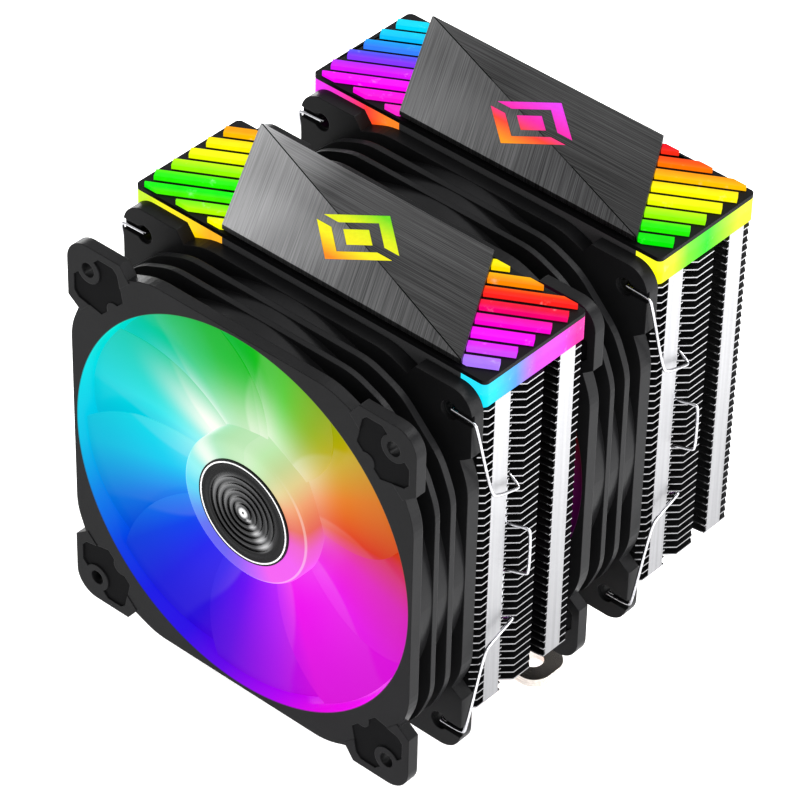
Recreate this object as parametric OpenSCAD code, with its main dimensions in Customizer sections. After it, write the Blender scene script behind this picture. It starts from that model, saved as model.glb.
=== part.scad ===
// Twin-tower processor cooler: a cold plate, six U-shaped heat pipes, two fin
// towers, two clip-on fans with lit rotors and two lit top covers.
// The origin is the middle of the cold plate's contact face. +Z is up, and air
// flows along +Y: in through the front fan, out behind the rear tower.

/* [Fin towers] */
// Width of a tower, side to side
tower_w = 120; // [119:0.5:121]
// Depth of a tower along the air flow
tower_d = 39.3; // [39:0.1:39.6]
// Distance from the cooler's middle to a tower's middle
tower_y = 34.05; // [34:0.05:34.3]
// Height of the lowest fin above the contact face
fin_z = 44.9; // [43:0.1:46]
// Number of fins in a tower
fin_count = 41; // [30:1:41]
// Distance between fins
fin_pitch = 2.5; // [2.2:0.1:2.5]
// Thickness of a fin and of its folded tabs
fin_t = 0.4; // [0.3:0.05:0.5]

/* [Base and heat pipes] */
// Outer radius of a heat pipe
pipe_r = 3; // [2.8:0.1:3]
// Distance between the pipes in the base
pipe_pitch = 6.3; // [6.2:0.05:6.4]
// Distance between the pipe legs in the towers
leg_pitch = 16; // [15:0.5:16.5]
// How far the staggered legs stand off a tower's middle
leg_stagger = 5; // [4.5:0.1:5]
// Size of the base, side to side
base_w = 46; // [46:0.5:50]
// Size of the base, front to back
base_d = 34; // [32:0.5:34]
// Distance between the mounting bar's bolt holes
bolt_spacing = 73; // [72:0.5:74]
// Radius of the mounting bar's bolt holes
bolt_hole_r = 3.2; // [2.6:0.1:3.4]

/* [Fans] */
// Outer size of a fan frame
fan_w = 120; // [119.5:0.5:120]
// Depth of a fan frame
fan_d = 25; // [25:0.1:25.2]
// Distance between a fan's corner holes
fan_hole_spacing = 105; // [104.5:0.5:105]
// Radius of a fan's corner holes
fan_hole_r = 2.15; // [2.1:0.05:2.3]
// Number of blades
blade_count = 9; // [7:1:9]
// Radius of the blade tips
tip_r = 57.1; // [55:0.1:57.2]

/* [Top covers] */
// Width of the metal plate on a cover
plate_w = 81; // [78:0.5:82]
// How far the plate's rear edge is shifted sideways from its front edge
plate_lean = 23; // [22:0.5:23]
// Number of light bars on each side of a plate
bar_count = 8; // [6:1:8]
// Total height of the cooler
total_h = 158; // [157.8:0.1:158.5]

/* [Hidden] */
$fn = 64;

// Overlap that joins two shapes of one piece
weld = 0.1;
// Gap between neighbouring pieces that don't bear on each other
clear = 0.05;

// --- Base and heat pipes -------------------------------------------------
pipe_z = 5;               // height of the pipes' middle in the base
bend_r = 12;              // bend from the base run into the leg
kink_r = 12;              // bend from the slanted stretch into the leg
pipe_top = 148;           // tip of a pipe
pipe_tip_h = 1.5;         // length of the swaged tip
block_top = 9.9;
bar_t = 2.6;              // thickness of the mounting bar
bar_half_w = 7.5;
bar_end = 44.2;           // distance from the middle to the bar's end
bar_corner_r = 5.5;
screw_x = 20.8;           // distance of the bar's screws from the middle
screw_r = 1.25;

// --- Towers --------------------------------------------------------------
half_w = tower_w / 2;
half_d = tower_d / 2;
fin_top = fin_z + (fin_count - 1) * fin_pitch + fin_t;
cover_z = fin_z + (fin_count - 1) * fin_pitch + 1.8; // top of the folded tabs
fin_chamfer = 1.75;
notch_depth = 4.9;        // depth of the clip notches
notch_in = 11.5;          // notch wall, from the tower's face
notch_mouth = 10.9;       // the wall's outer end is flared towards the face
tab_from = 4.2;           // folded tabs, from the tower's face
tab_to = 10.1;

// --- Covers --------------------------------------------------------------
lip_t = 1.5;              // thickness of the metal plate's edge
frame_top = total_h - 2.9;
frame_t = 1.2;            // thickness of the black top sheet
wall_t = 1.6;             // thickness of the walls under it
bar_top = frame_top + 1.3;
light_bar_w = 3;
light_bar_pitch = 5.66;
bar_margin = 0.8;         // from the light bars to the cover's edge
plate_inset = 1.5;        // how far the plate's foot stands back
plate_front_left = -29;
plate_slope = atan2(plate_lean, tower_d);
cover_corner_r = 1.6;
emblem_r = 14.5;          // half the emblem's width
emblem_bridge = 1.6;      // webs that hold the plate inside the emblem

// --- Fans ----------------------------------------------------------------
fan_gap = 0.2;            // from a fan to its tower
fan_z = 92.5;             // height of the fans' axes
front_fan_y = -tower_y - half_d - fan_gap - fan_d;
middle_fan_y = tower_y - half_d - fan_gap - fan_d;
hole_at = fan_hole_spacing / 2;
bore_r = 58.3;            // radius of the air duct
barrel_r = 59.3;            // outer radius of the duct's wall
ear_t = 3.6;              // thickness of a front ear
rear_ear_y = 20.7;        // front face of the rear ears
pad_depth = 1.3;
pad_t = 0.9;
pocket_depth = 0.9;       // groove for the clip wire in a rear ear
base_r = 23.5;            // radius of the motor base
base_y = 23.2;            // front face of the motor base
tube_r = 4.5;             // bearing tube
bush_r = 3;
shaft_r = 1.5;
hub_r = 22;
hub_y = 2.4;              // front face of the hub
hub_back = 20.6;
cup_r = 15.9;             // bore of the hub
cap_r = 15.7;
ring_in = 1;               // from the cap's edge to the white ring's inner edge
ring_out = 0.45;

// --- Clips ---------------------------------------------------------------
wire_r = 0.45;
wire_sides = 8;

// === Helpers ==============================================================

// Draws a flat shape in the XZ plane and gives it a thickness along Y
module slab(y0, y1) {
    translate([0, y1, 0])
        rotate([90, 0, 0])
            linear_extrude(y1 - y0)
                children();
}

// A rod along Y
module rod_y(r, y0, y1) {
    translate([0, y1, 0])
        rotate([90, 0, 0])
            cylinder(r = r, h = y1 - y0);
}

// A tube along Y
module tube_y(r_out, r_in, y0, y1) {
    slab(y0, y1)
        difference() {
            circle(r = r_out);
            circle(r = r_in);
        }
}

// Puts a copy of a shape in each corner of the XZ plane
module four_corners() {
    for (sx = [0, 1])
        for (sz = [0, 1])
            mirror([sx, 0, 0])
                mirror([0, 0, sz])
                    children();
}

// === Base =================================================================

module pipe_grooves(r) {
    for (i = [-2.5:1:2.5])
        translate([i * pipe_pitch, 0, pipe_z])
            rod_y(r, -base_d, base_d);
}

module screw_holes(z0, z1) {
    for (side = [-1, 1])
        translate([side * screw_x, 0, z0])
            cylinder(r = screw_r + clear, h = z1 - z0);
}

module cold_plate() {
    color([0.72, 0.45, 0.3])
        difference() {
            translate([-base_w / 2, -base_d / 2, 0])
                cube([base_w, base_d, pipe_z]);
            pipe_grooves(pipe_r + clear);
            screw_holes(2, block_top);
        }
}

module base_block() {
    color([0.78, 0.78, 0.8])
        difference() {
            translate([-base_w / 2, -base_d / 2, pipe_z])
                cube([base_w, base_d, block_top - pipe_z]);
            pipe_grooves(pipe_r + clear);
            screw_holes(2, block_top + weld);
            for (side = [-1, 1])
                translate([side * (base_w / 2), 0, block_top])
                    rotate([0, 45, 0])
                        cube([1.6, 2 * base_d, 1.6], center = true);
        }
}

// One bend, from +X turning towards +Z, starting at the given angle
module bend_xz(r, from, sweep) {
    trim = 0.3;
    rotate([90, 0, 0])
        rotate([0, 0, from + trim])
            rotate_extrude(angle = sweep - 2 * trim)
                translate([r, 0])
                    circle(r = pipe_r);
}

// Hair-thin drawing mark where a bend runs into a straight stretch; it joins the two
module bend_mark() {
    cylinder(r = pipe_r + 0.02, h = 0.4, center = true);
}

// Half a heat pipe without its base run: bend, slanted stretch, kink and leg.
// base_x and leg_x are its places in the base and in the tower.
module pipe_half(base_x, leg_x, leg_y) {
    rise = fin_z - 1 - pipe_z;
    reach = leg_x - base_x - kink_r;
    span = sqrt(reach * reach + rise * rise);
    slant = atan2(reach, rise) + asin(kink_r / span);
    straight = sqrt(span * span - kink_r * kink_r);
    leg_h = pipe_top - pipe_z - rise;
    translate([base_x, 0, pipe_z])
        rotate([0, slant, 0]) {
            translate([0, leg_y - bend_r, 0])
                rotate([90, 0, 0])
                    bend_mark();
            translate([0, leg_y - bend_r, bend_r])
                rotate([0, 0, 90])
                    bend_xz(bend_r, -90, 90);
            translate([0, leg_y, bend_r])
                bend_mark();
            translate([0, leg_y, bend_r + weld])
                cylinder(r = pipe_r, h = straight - bend_r - 2 * weld);
            translate([0, leg_y, straight])
                bend_mark();
        }
    translate([leg_x - kink_r, leg_y, pipe_z + rise])
        bend_xz(kink_r, -slant, slant);
    translate([leg_x, leg_y, pipe_z + rise]) {
        bend_mark();
        rotate_extrude()
            polygon([[0, weld], [pipe_r, weld], [pipe_r, leg_h - pipe_tip_h],
                     [pipe_r / 2, leg_h], [0, leg_h]]);
    }
}

// Where pipe i (0 to 2, counted from the middle) stands off a tower's middle
function leg_offset(i) = (i % 2 == 0) ? -leg_stagger : leg_stagger;

// A whole pipe. i counts outwards, and side is -1 or 1.
module heat_pipe(i, side) {
    base_x = (i + 0.5) * pipe_pitch;
    leg_y = tower_y + leg_offset(i);
    run = leg_y - bend_r - weld;
    color([0.8, 0.8, 0.82])
        mirror([side < 0 ? 1 : 0, 0, 0]) {
            translate([base_x, 0, pipe_z])
                rod_y(pipe_r, -run, run);
            for (way = [0, 1])
                mirror([0, way, 0])
                    pipe_half(base_x, (i + 0.5) * leg_pitch, leg_y);
        }
}

module mounting_bar() {
    color([0.75, 0.75, 0.76])
        difference() {
            translate([0, 0, block_top])
                linear_extrude(bar_t)
                    difference() {
                        union() {
                            square([2 * (bar_end - bar_corner_r), 2 * bar_half_w],
                                   center = true);
                            square([2 * bar_end, 2 * (bar_half_w - bar_corner_r)],
                                   center = true);
                            for (sx = [-1, 1])
                                for (sy = [-1, 1])
                                    translate([sx * (bar_end - bar_corner_r),
                                               sy * (bar_half_w - bar_corner_r)])
                                        circle(r = bar_corner_r);
                        }
                        for (side = [-1, 1])
                            translate([side * bolt_spacing / 2, 0])
                                circle(r = bolt_hole_r);
                    }
            screw_holes(0, block_top + bar_t + weld);
        }
}

module mounting_bar_screws() {
    head_r = 2.6;
    head_h = 1.6;
    color([0.35, 0.35, 0.37])
        for (side = [-1, 1])
            translate([side * screw_x, 0, 0])
                difference() {
                    union() {
                        translate([0, 0, 2.6])
                            cylinder(r = screw_r, h = block_top + bar_t - 2.6 + weld);
                        translate([0, 0, block_top + bar_t])
                            cylinder(r = head_r, h = head_h);
                    }
                    translate([0, 0, block_top + bar_t + 0.6])
                        cylinder(r = 1.3, h = head_h, $fn = 6);
                }
}

// === Fin towers ===========================================================

// Outline of the right half of a fin's front half, from its front to its middle
function fin_quarter() = [
    [half_w - fin_chamfer, -half_d],
    [half_w, fin_chamfer - half_d],
    [half_w, notch_mouth - half_d],
    [half_w - notch_depth, notch_in - half_d],
    [half_w, notch_in + notch_depth - half_d],
];

function reversed(list) = [for (i = [len(list) - 1:-1:0]) list[i]];

function fin_outline() = let (q = fin_quarter()) concat(
    q,
    reversed([for (p = q) [p[0], -p[1]]]),
    [for (p = q) [-p[0], -p[1]]],
    reversed([for (p = q) [-p[0], p[1]]])
);

// The pipe holes of a tower whose legs are mirrored front to back when way is -1
module leg_holes(way, r) {
    for (i = [0:2])
        for (side = [-1, 1])
            translate([side * (i + 0.5) * leg_pitch, way * leg_offset(i)])
                circle(r = r);
}

module fin_stack(way) {
    color([0.2, 0.2, 0.21])
        translate([0, way * tower_y, 0]) {
            for (i = [0:fin_count - 1])
                translate([0, 0, fin_z + i * fin_pitch])
                    linear_extrude(fin_t)
                        difference() {
                            polygon(fin_outline());
                            leg_holes(way, pipe_r + clear);
                        }
            for (sx = [-1, 1])
                for (sy = [-1, 1])
                    translate([sx * (half_w - fin_t / 2),
                               sy * (half_d - (tab_from + tab_to) / 2),
                               (fin_z + cover_z) / 2])
                        cube([fin_t, tab_to - tab_from, cover_z - fin_z], center = true);
        }
}

// === Top covers ===========================================================

// Rectangle with round corners, shrunk by the given inset
module cover_outline(inset) {
    w = half_w - inset;
    d = half_d - inset;
    r = cover_corner_r;
    square([2 * (w - r), 2 * d], center = true);
    square([2 * w, 2 * (d - r)], center = true);
    for (sx = [-1, 1])
        for (sy = [-1, 1])
            translate([sx * (w - r), sy * (d - r)])
                circle(r = r);
}

// The metal plate's leaning outline, shrunk by the given inset
module plate_outline(inset) {
    edge = inset / cos(plate_slope);
    lean = plate_lean * (half_d - inset) / tower_d;
    mid = plate_front_left - plate_lean / 2;
    left = mid + edge;
    right = mid + plate_w - edge;
    polygon([
        [left + lean, inset - half_d],
        [right + lean, inset - half_d],
        [right - lean, half_d - inset],
        [left - lean, half_d - inset],
    ]);
}

// Length of the light bar that stands off the row's middle by the given distance.
// start is the plate's edge. A bar ends square at the cover's side, and at the
// cover's front or rear once a quarter of its width would reach past it.
function light_bar_l(start, off) = let (
    to_side = half_w - bar_margin - start + (off - light_bar_w / 2) * sin(plate_slope),
    to_front = half_d - bar_margin - (off - light_bar_w / 4) * cos(plate_slope)
) min(to_side / cos(plate_slope), to_front / sin(plate_slope));

// Light bars on one side of the plate, widened by grow all round
module bars_2d(side, grow) {
    mid = plate_front_left - plate_lean / 2 + (side > 0 ? plate_w : 0);
    intersection() {
        difference() {
            square([tower_w - 2 * bar_margin + 2 * grow,
                    tower_d - 2 * bar_margin + 2 * grow], center = true);
            plate_outline(0.8);
            fascia_2d(0.2);
        }
        translate([mid, 0])
            rotate([0, 0, plate_slope])
                for (i = [0:bar_count - 1])
                    light_bar(side, side * mid, (i - (bar_count - 1) / 2) * light_bar_pitch, grow);
    }
}

module light_bar(side, start, off, grow) {
    bar_l = light_bar_l(start, side * off);
    translate([side * bar_l / 2, off])
        square([bar_l + 2 * grow, light_bar_w + 2 * grow], center = true);
}

module cover_base(way) {
    color([0.08, 0.08, 0.09])
        translate([0, way * tower_y, fin_top])
            linear_extrude(cover_z + wall_t - fin_top)
                difference() {
                    cover_outline(wall_t + clear);
                    leg_holes(way, pipe_r + 0.3);
                }
}

// Circuit board with a row of lamps along its front and rear edges
module cover_led_board(way) {
    board_t = 1;
    lamp = 3.2;
    lamp_pitch = 15;
    color([0.85, 0.87, 0.85])
        translate([0, way * tower_y, cover_z + wall_t]) {
            linear_extrude(board_t)
                cover_outline(wall_t + 1);
            for (i = [-3.5:1:3.5])
                for (sy = [-1, 1])
                    translate([i * lamp_pitch, sy * (half_d - 6), board_t + 0.6])
                        cube([lamp, lamp, 1.2 + weld], center = true);
        }
}

// The dark walls under the plate: one in front and one behind
module fascia_2d(grow) {
    for (way = [0, 180])
        rotate([0, 0, way])
            translate([plate_front_left - grow, -half_d - weld])
                square([plate_w + 2 * grow, wall_t + weld + grow]);
}

module cover_diffuser(way) {
    sheet_z = frame_top - frame_t;
    color([0.9, 0.95, 0.6])
        translate([0, way * tower_y, 0]) {
            translate([0, 0, cover_z])
                linear_extrude(sheet_z - cover_z)
                    difference() {
                        cover_outline(0);
                        cover_outline(wall_t);
                        fascia_2d(clear);
                    }
            translate([0, 0, sheet_z - wall_t])
                linear_extrude(wall_t)
                    difference() {
                        cover_outline(0);
                        fascia_2d(clear);
                        plate_outline(6);
                    }
            for (side = [-1, 1])
                translate([0, 0, sheet_z - weld])
                    linear_extrude(bar_top - sheet_z + weld)
                        bars_2d(side, 0);
        }
}

module cover_frame(way) {
    sheet_z = frame_top - frame_t;
    color([0.06, 0.06, 0.07])
        translate([0, way * tower_y, 0]) {
            translate([0, 0, sheet_z])
                linear_extrude(frame_t)
                    difference() {
                        cover_outline(0);
                        bars_2d(-1, clear);
                        bars_2d(1, clear);
                    }
            translate([0, 0, cover_z])
                linear_extrude(sheet_z - cover_z + weld)
                    intersection() {
                        cover_outline(0);
                        fascia_2d(0);
                    }
        }
}

// Two chevrons and a small diamond between them
module emblem_2d(grow) {
    inner_r = emblem_r - 5;
    scale([1, 0.85]) {
        difference() {
            circle(r = emblem_r + grow, $fn = 4);
            circle(r = inner_r - grow, $fn = 4);
            square([3 * emblem_r, 2 * (emblem_bridge - grow)], center = true);
        }
        circle(r = 5 + grow, $fn = 4);
    }
}

module cover_plate(way) {
    groove_w = 0.3;
    groove_depth = 0.2;
    color([0.25, 0.25, 0.26])
        translate([0, way * tower_y, 0])
            difference() {
                union() {
                    translate([0, 0, frame_top])
                        linear_extrude(total_h - lip_t - frame_top + weld)
                            plate_outline(plate_inset);
                    translate([0, 0, total_h - lip_t])
                        linear_extrude(lip_t)
                            plate_outline(0);
                }
                translate([0, 0, frame_top - weld])
                    linear_extrude(total_h)
                        emblem_2d(clear);
                translate([0, 0, total_h])
                    rotate([0, 0, -atan2(tower_d, plate_w + plate_lean)])
                        difference() {
                            cube([2 * tower_w, groove_w, 2 * groove_depth], center = true);
                            cube([3 * emblem_r, 2, 2], center = true);
                        }
            }
}

module cover_emblem(way) {
    color([0.9, 0.9, 0.3])
        translate([0, way * tower_y, frame_top])
            linear_extrude(total_h - frame_top)
                emblem_2d(0);
}

// === Fans =================================================================
// Each fan is drawn around its own axis, with its front face at y = 0.

module at_fan(fan_y) {
    translate([0, fan_y, fan_z])
        children();
}

// Corner points of a frame plate's first octant pair, without rounding
function plate_corners() = let (h = fan_w / 2 - 0.5) [
    [h, 31], [55, 42], [42, 55], [31, h],
];

// Points of a polygon with each corner cut back and rounded by an arc-like curve
function rounded(points, cut, steps) = let (n = len(points)) [
    for (i = [0:n - 1])
        let (
            p = points[i],
            a = points[(i + n - 1) % n],
            b = points[(i + 1) % n],
            p0 = p + (a - p) * min(0.5, cut / norm(a - p)),
            p2 = p + (b - p) * min(0.5, cut / norm(b - p))
        )
            for (k = [0:steps])
                let (t = k / steps)
                    (1 - t) * (1 - t) * p0 + 2 * t * (1 - t) * p + t * t * p2
];

function plate_polygon() = let (q = plate_corners()) concat(
    q,
    reversed([for (p = q) [-p[0], p[1]]]),
    [for (p = q) [-p[0], -p[1]]],
    reversed([for (p = q) [p[0], -p[1]]])
);

module fan_plate(y0, y1) {
    slab(y0, y1)
        difference() {
            polygon(rounded(plate_polygon(), 4, 4));
            circle(r = bore_r);
        }
}

// Mounting ear in the upper right corner
module ear_2d() {
    round_r = 7;
    h = fan_w / 2;
    difference() {
        union() {
            polygon([[h, 41], [h, h - round_r], [h - round_r, h], [41, h],
                     [37.8, 55.7], [55.7, 37.8]]);
            translate([h - round_r, h - round_r])
                circle(r = round_r);
        }
        translate([hole_at, hole_at])
            circle(r = fan_hole_r);
    }
}

// Soft pad let into the front ear, round the screw boss
module pad_2d() {
    difference() {
        polygon([[57.7, 48.7], [57.7, 43.6], [56.2, 42], [48.1, 40.3],
                 [40.3, 48.1], [42, 56.2], [43.6, 57.7], [48.7, 57.7]]);
        translate([hole_at, hole_at])
            circle(r = 4.1);
        translate([43.5, 43.5])
            circle(r = 2.7);
    }
}

// Groove for the clip wire, from a rear ear's hole to its outer edge
module wire_pocket() {
    translate([hole_at, rear_ear_y - weld, hole_at - 1.7])
        cube([fan_w, pocket_depth + weld, 3.4]);
    translate([hole_at, 0, hole_at])
        rod_y(fan_hole_r + 0.6, rear_ear_y - weld, rear_ear_y + pocket_depth);
}

module fan_frame() {
    color([0.1, 0.1, 0.11])
        difference() {
            union() {
                fan_plate(0.2, 3.8);
                fan_plate(8.4, 10.2);
                fan_plate(14.3, 16.3);
                fan_plate(rear_ear_y, fan_d);
                tube_y(barrel_r, bore_r, 0.2, fan_d);
                four_corners() {
                    slab(0, ear_t)
                        ear_2d();
                    slab(rear_ear_y, fan_d)
                        ear_2d();
                }
                fan_struts();
                rod_y(base_r, base_y, fan_d);
                tube_y(base_r, base_r - 0.7, 20.6, fan_d);
                rod_y(tube_r, 7.6, fan_d);
            }
            rod_y(bush_r + clear, 7, base_y - 0.4);
            four_corners() {
                slab(-weld, pad_depth)
                    pad_2d();
                wire_pocket();
            }
        }
}

// Four arms that hold the motor base in the duct
module fan_struts() {
    strut_w = 4.5;
    for (turn = [20:90:290])
        rotate([0, turn, 0])
            translate([base_r - 0.5, 22, -strut_w / 2])
                cube([bore_r - base_r + 1.3, fan_d - 22, strut_w]);
}

module fan_pads() {
    color([0.05, 0.05, 0.05])
        four_corners()
            slab(pad_depth - pad_t, pad_depth)
                pad_2d();
}

module fan_bearing() {
    color([0.75, 0.6, 0.3])
        tube_y(bush_r, shaft_r + clear, 7.6, base_y - 0.4);
}

// Four poles on a ring, as one stack of laminations
module fan_stator() {
    ring_r = 6.6;
    face_r = 12.5;
    face_in = 10.9;
    color([0.55, 0.56, 0.58])
        slab(11, 18)
            difference() {
                union() {
                    circle(r = ring_r);
                    for (turn = [0:90:270])
                        rotate([0, 0, turn])
                            translate([face_in / 2, 0])
                                square([face_in + 1, 3], center = true);
                    difference() {
                        circle(r = face_r);
                        circle(r = face_in);
                        for (turn = [45:90:135])
                            rotate([0, 0, turn])
                                square([2.4, 3 * face_r], center = true);
                    }
                }
                circle(r = tube_r + clear);
            }
}

module fan_windings() {
    color([0.75, 0.4, 0.2])
        for (turn = [0:90:270])
            rotate([0, turn, 0])
                translate([8.8, 14.5, 0])
                    difference() {
                        cube([3.2, 9.6, 6.4], center = true);
                        cube([4, 7 + 2 * clear, 3 + 2 * clear], center = true);
                    }
}

module fan_motor_board() {
    color([0.1, 0.35, 0.2]) {
        tube_y(15.2, tube_r + clear, base_y - 1.2, base_y);
        for (turn = [30:60:330])
            rotate([0, turn, 0])
                translate([10.5, base_y - 1.6, 0])
                    cube([3, 0.9, 2], center = true);
    }
}

module fan_led_board() {
    color([0.9, 0.9, 0.88]) {
        tube_y(22.6, 15.5, base_y - 1, base_y);
        for (turn = [0:30:330])
            rotate([0, turn, 0])
                translate([19, base_y - 1.4, 0])
                    cube([2.8, 0.9, 2.8], center = true);
    }
}

// --- Rotor ---

// Section of a blade at radius r: leading edge first, in [turn, y] pairs.
// The blade is swept backwards, and its pitch falls off towards the tip.
blade_rings = 7;
blade_steps = 6;
function blade_turn(u, v) = 4 + 62 * v + 16 * u * u;
function blade_y(u, v) = 9 - 6.4 * u + (7 + 2 * u) * v - 2 * sin(180 * v);
function blade_t(u, v) = 0.5 + 0.55 * sin(180 * v) * (1 - 0.5 * u);

function blade_point(u, v, face) = let (
    r = hub_r - 0.8 + (tip_r - hub_r + 0.8) * u,
    turn = blade_turn(u, v),
    y = blade_y(u, v) + face * blade_t(u, v)
) [r * cos(turn), y, r * sin(turn)];

module blade() {
    rings = blade_rings + 1;
    steps = blade_steps + 1;
    side = rings * steps;
    points = [
        for (face = [-1, 1])
            for (i = [0:blade_rings])
                for (k = [0:blade_steps])
                    blade_point(i / blade_rings, k / blade_steps, face)
    ];
    front = [
        for (i = [0:blade_rings - 1])
            for (k = [0:blade_steps - 1])
                let (a = i * steps + k)
                    each [[a, a + 1, a + steps + 1], [a, a + steps + 1, a + steps]]
    ];
    back = [for (f = front) [f[0] + side, f[2] + side, f[1] + side]];
    rim = concat(
        [for (k = [0:blade_steps - 1]) k],
        [for (i = [0:blade_rings - 1]) i * steps + blade_steps],
        [for (k = [blade_steps:-1:1]) blade_rings * steps + k],
        [for (i = [blade_rings:-1:1]) i * steps]
    );
    n = len(rim);
    wall = [
        for (j = [0:n - 1])
            let (a = rim[j], b = rim[(j + 1) % n])
                each [[a, a + side, b + side], [a, b + side, b]]
    ];
    polyhedron(points = points, faces = concat(front, back, wall), convexity = 4);
}

module fan_impeller() {
    edge_r = 2;
    color([0.85, 0.85, 0.95]) {
        difference() {
            union() {
                rod_y(hub_r, hub_y + edge_r, hub_back);
                rod_y(hub_r - edge_r, hub_y, hub_y + edge_r + weld);
                translate([0, hub_y + edge_r, 0])
                    rotate([90, 0, 0])
                        rotate_extrude()
                            intersection() {
                                translate([hub_r - edge_r, 0])
                                    circle(r = edge_r);
                                square([hub_r, edge_r]);
                            }
            }
            rod_y(cup_r, 6.4, hub_back + weld);
            rod_y(cap_r + clear, hub_y - weld, 4);
            rod_y(shaft_r, 3, 7);
        }
        for (i = [0:blade_count - 1])
            rotate([0, i * 360 / blade_count, 0])
                blade();
    }
}

module fan_yoke() {
    color([0.5, 0.51, 0.53]) {
        tube_y(cup_r - clear, cup_r - 0.8, 6.4 + clear, 19.8);
        tube_y(cup_r - clear, 4, 6.4 + clear, 7.2);
    }
}

module fan_magnet() {
    color([0.2, 0.2, 0.2])
        tube_y(cup_r - 0.8 - clear, 13.1, 9.5, 19.5);
}

module fan_shaft() {
    color([0.8, 0.8, 0.82]) {
        rod_y(shaft_r, 4.3, 22.4);
    }
}

// Round cap with turned rings
module fan_hub_cap() {
    color([0.12, 0.12, 0.13])
        difference() {
            rod_y(cap_r, hub_y - 0.5, 4);
            tube_y(cap_r - ring_out, cap_r - ring_in, hub_y - 1, hub_y + 0.2);
            for (r = [2.6:2:10.6])
                tube_y(r + 1, r, hub_y - 1, hub_y - 0.15);
            rod_y(0.45, hub_y - 1, hub_y + 0.6);
        }
}

module fan_hub_ring() {
    color([0.95, 0.95, 0.95])
        tube_y(cap_r - ring_out - clear, cap_r - ring_in + clear, hub_y - 0.55, hub_y + 0.2);
}

// === Fan clips ============================================================

// Control points of the right clip's upper half, from its hook in the ear's
// hole to its handle. x is from the fan's middle, y from its front face and
// z from its axis. All corners are softened before the wire is swept.
tower_front = fan_d + fan_gap;
pocket_y = rear_ear_y + pocket_depth - wire_r - clear;
run_y = tower_front + 12.8;
clip_half = [
    [hole_at, fan_d - 0.8, hole_at],
    [hole_at, pocket_y + 0.2, hole_at],
    [hole_at + 0.9, pocket_y, hole_at],
    [60.4, pocket_y, hole_at - 0.2],
    [61.1, rear_ear_y + 0.6, hole_at - 1.6],
    [62, tower_front + 1.5, 27],
    [62.1, tower_front + 3.6, 25],
    [62.1, tower_front + 11.6, 22.4],
    [61.6, run_y + 0.3, 22.2],
    [58.4, run_y + 0.1, 24.6],
    [57.6, run_y, 24.2],
    [57.6, run_y, 22.6],
    [57.6, run_y, 8.6],
    [58.2, run_y + 0.2, 7.8],
    [63.4, run_y + 2.3, 7.8],
    [64.2, run_y + 2.6, 6.9],
];
clip_path = concat(clip_half, reversed([for (p = clip_half) [p[0], p[1], -p[2]]]));

// Cuts each corner of an open path once, keeping its two ends
function soften(path) = concat(
    [path[0]],
    [
        for (i = [0:len(path) - 2])
            each [path[i] * 0.75 + path[i + 1] * 0.25, path[i] * 0.25 + path[i + 1] * 0.75]
    ],
    [path[len(path) - 1]]
);

function unit(v) = v / norm(v);

// Direction of a path at point i
function heading(path, i) =
    unit(path[min(i + 1, len(path) - 1)] - path[max(i - 1, 0)]);

// Frames carried along a path without twist: each is a vector across the wire
function carried(path, i, across) = let (
    along = heading(path, i),
    flat = unit(across - along * (across * along))
) i == len(path) - 1 ? [flat] : concat([flat], carried(path, i + 1, flat));

// A round wire along an open path
module wire(path) {
    n = len(path);
    across = carried(path, 0, [0, 0, 1]);
    points = [
        for (i = [0:n - 1])
            let (side = cross(heading(path, i), across[i]))
                for (k = [0:wire_sides - 1])
                    let (turn = 360 * k / wire_sides)
                        path[i] + wire_r * (cos(turn) * across[i] + sin(turn) * side)
    ];
    walls = [
        for (i = [0:n - 2])
            for (k = [0:wire_sides - 1])
                let (
                    a = i * wire_sides + k,
                    b = i * wire_sides + (k + 1) % wire_sides
                )
                    each [[a, a + wire_sides, b + wire_sides], [a, b + wire_sides, b]]
    ];
    first = [for (k = [0:wire_sides - 1]) k];
    last = [for (k = [wire_sides - 1:-1:0]) (n - 1) * wire_sides + k];
    polyhedron(points = points, faces = concat([first], [last], walls), convexity = 8);
}

module fan_clip(side) {
    color([0.7, 0.7, 0.72])
        mirror([side < 0 ? 1 : 0, 0, 0])
            wire(soften(clip_path));
}

// === Nodes ================================================================

cold_plate();
base_block();
heat_pipe(2, -1);  // heat_pipe_1
heat_pipe(1, -1);  // heat_pipe_2
heat_pipe(0, -1);  // heat_pipe_3
heat_pipe(0, 1);  // heat_pipe_4
heat_pipe(1, 1);  // heat_pipe_5
heat_pipe(2, 1);  // heat_pipe_6
mounting_bar();
mounting_bar_screws();
fin_stack(-1);  // front_fin_stack
fin_stack(1);  // rear_fin_stack

cover_base(-1);  // front_cover_base
cover_led_board(-1);  // front_cover_led_board
cover_diffuser(-1);  // front_cover_diffuser
cover_frame(-1);  // front_cover_frame
cover_plate(-1);  // front_cover_plate
cover_emblem(-1);  // front_cover_emblem
cover_base(1);  // rear_cover_base
cover_led_board(1);  // rear_cover_led_board
cover_diffuser(1);  // rear_cover_diffuser
cover_frame(1);  // rear_cover_frame
cover_plate(1);  // rear_cover_plate
cover_emblem(1);  // rear_cover_emblem

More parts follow.
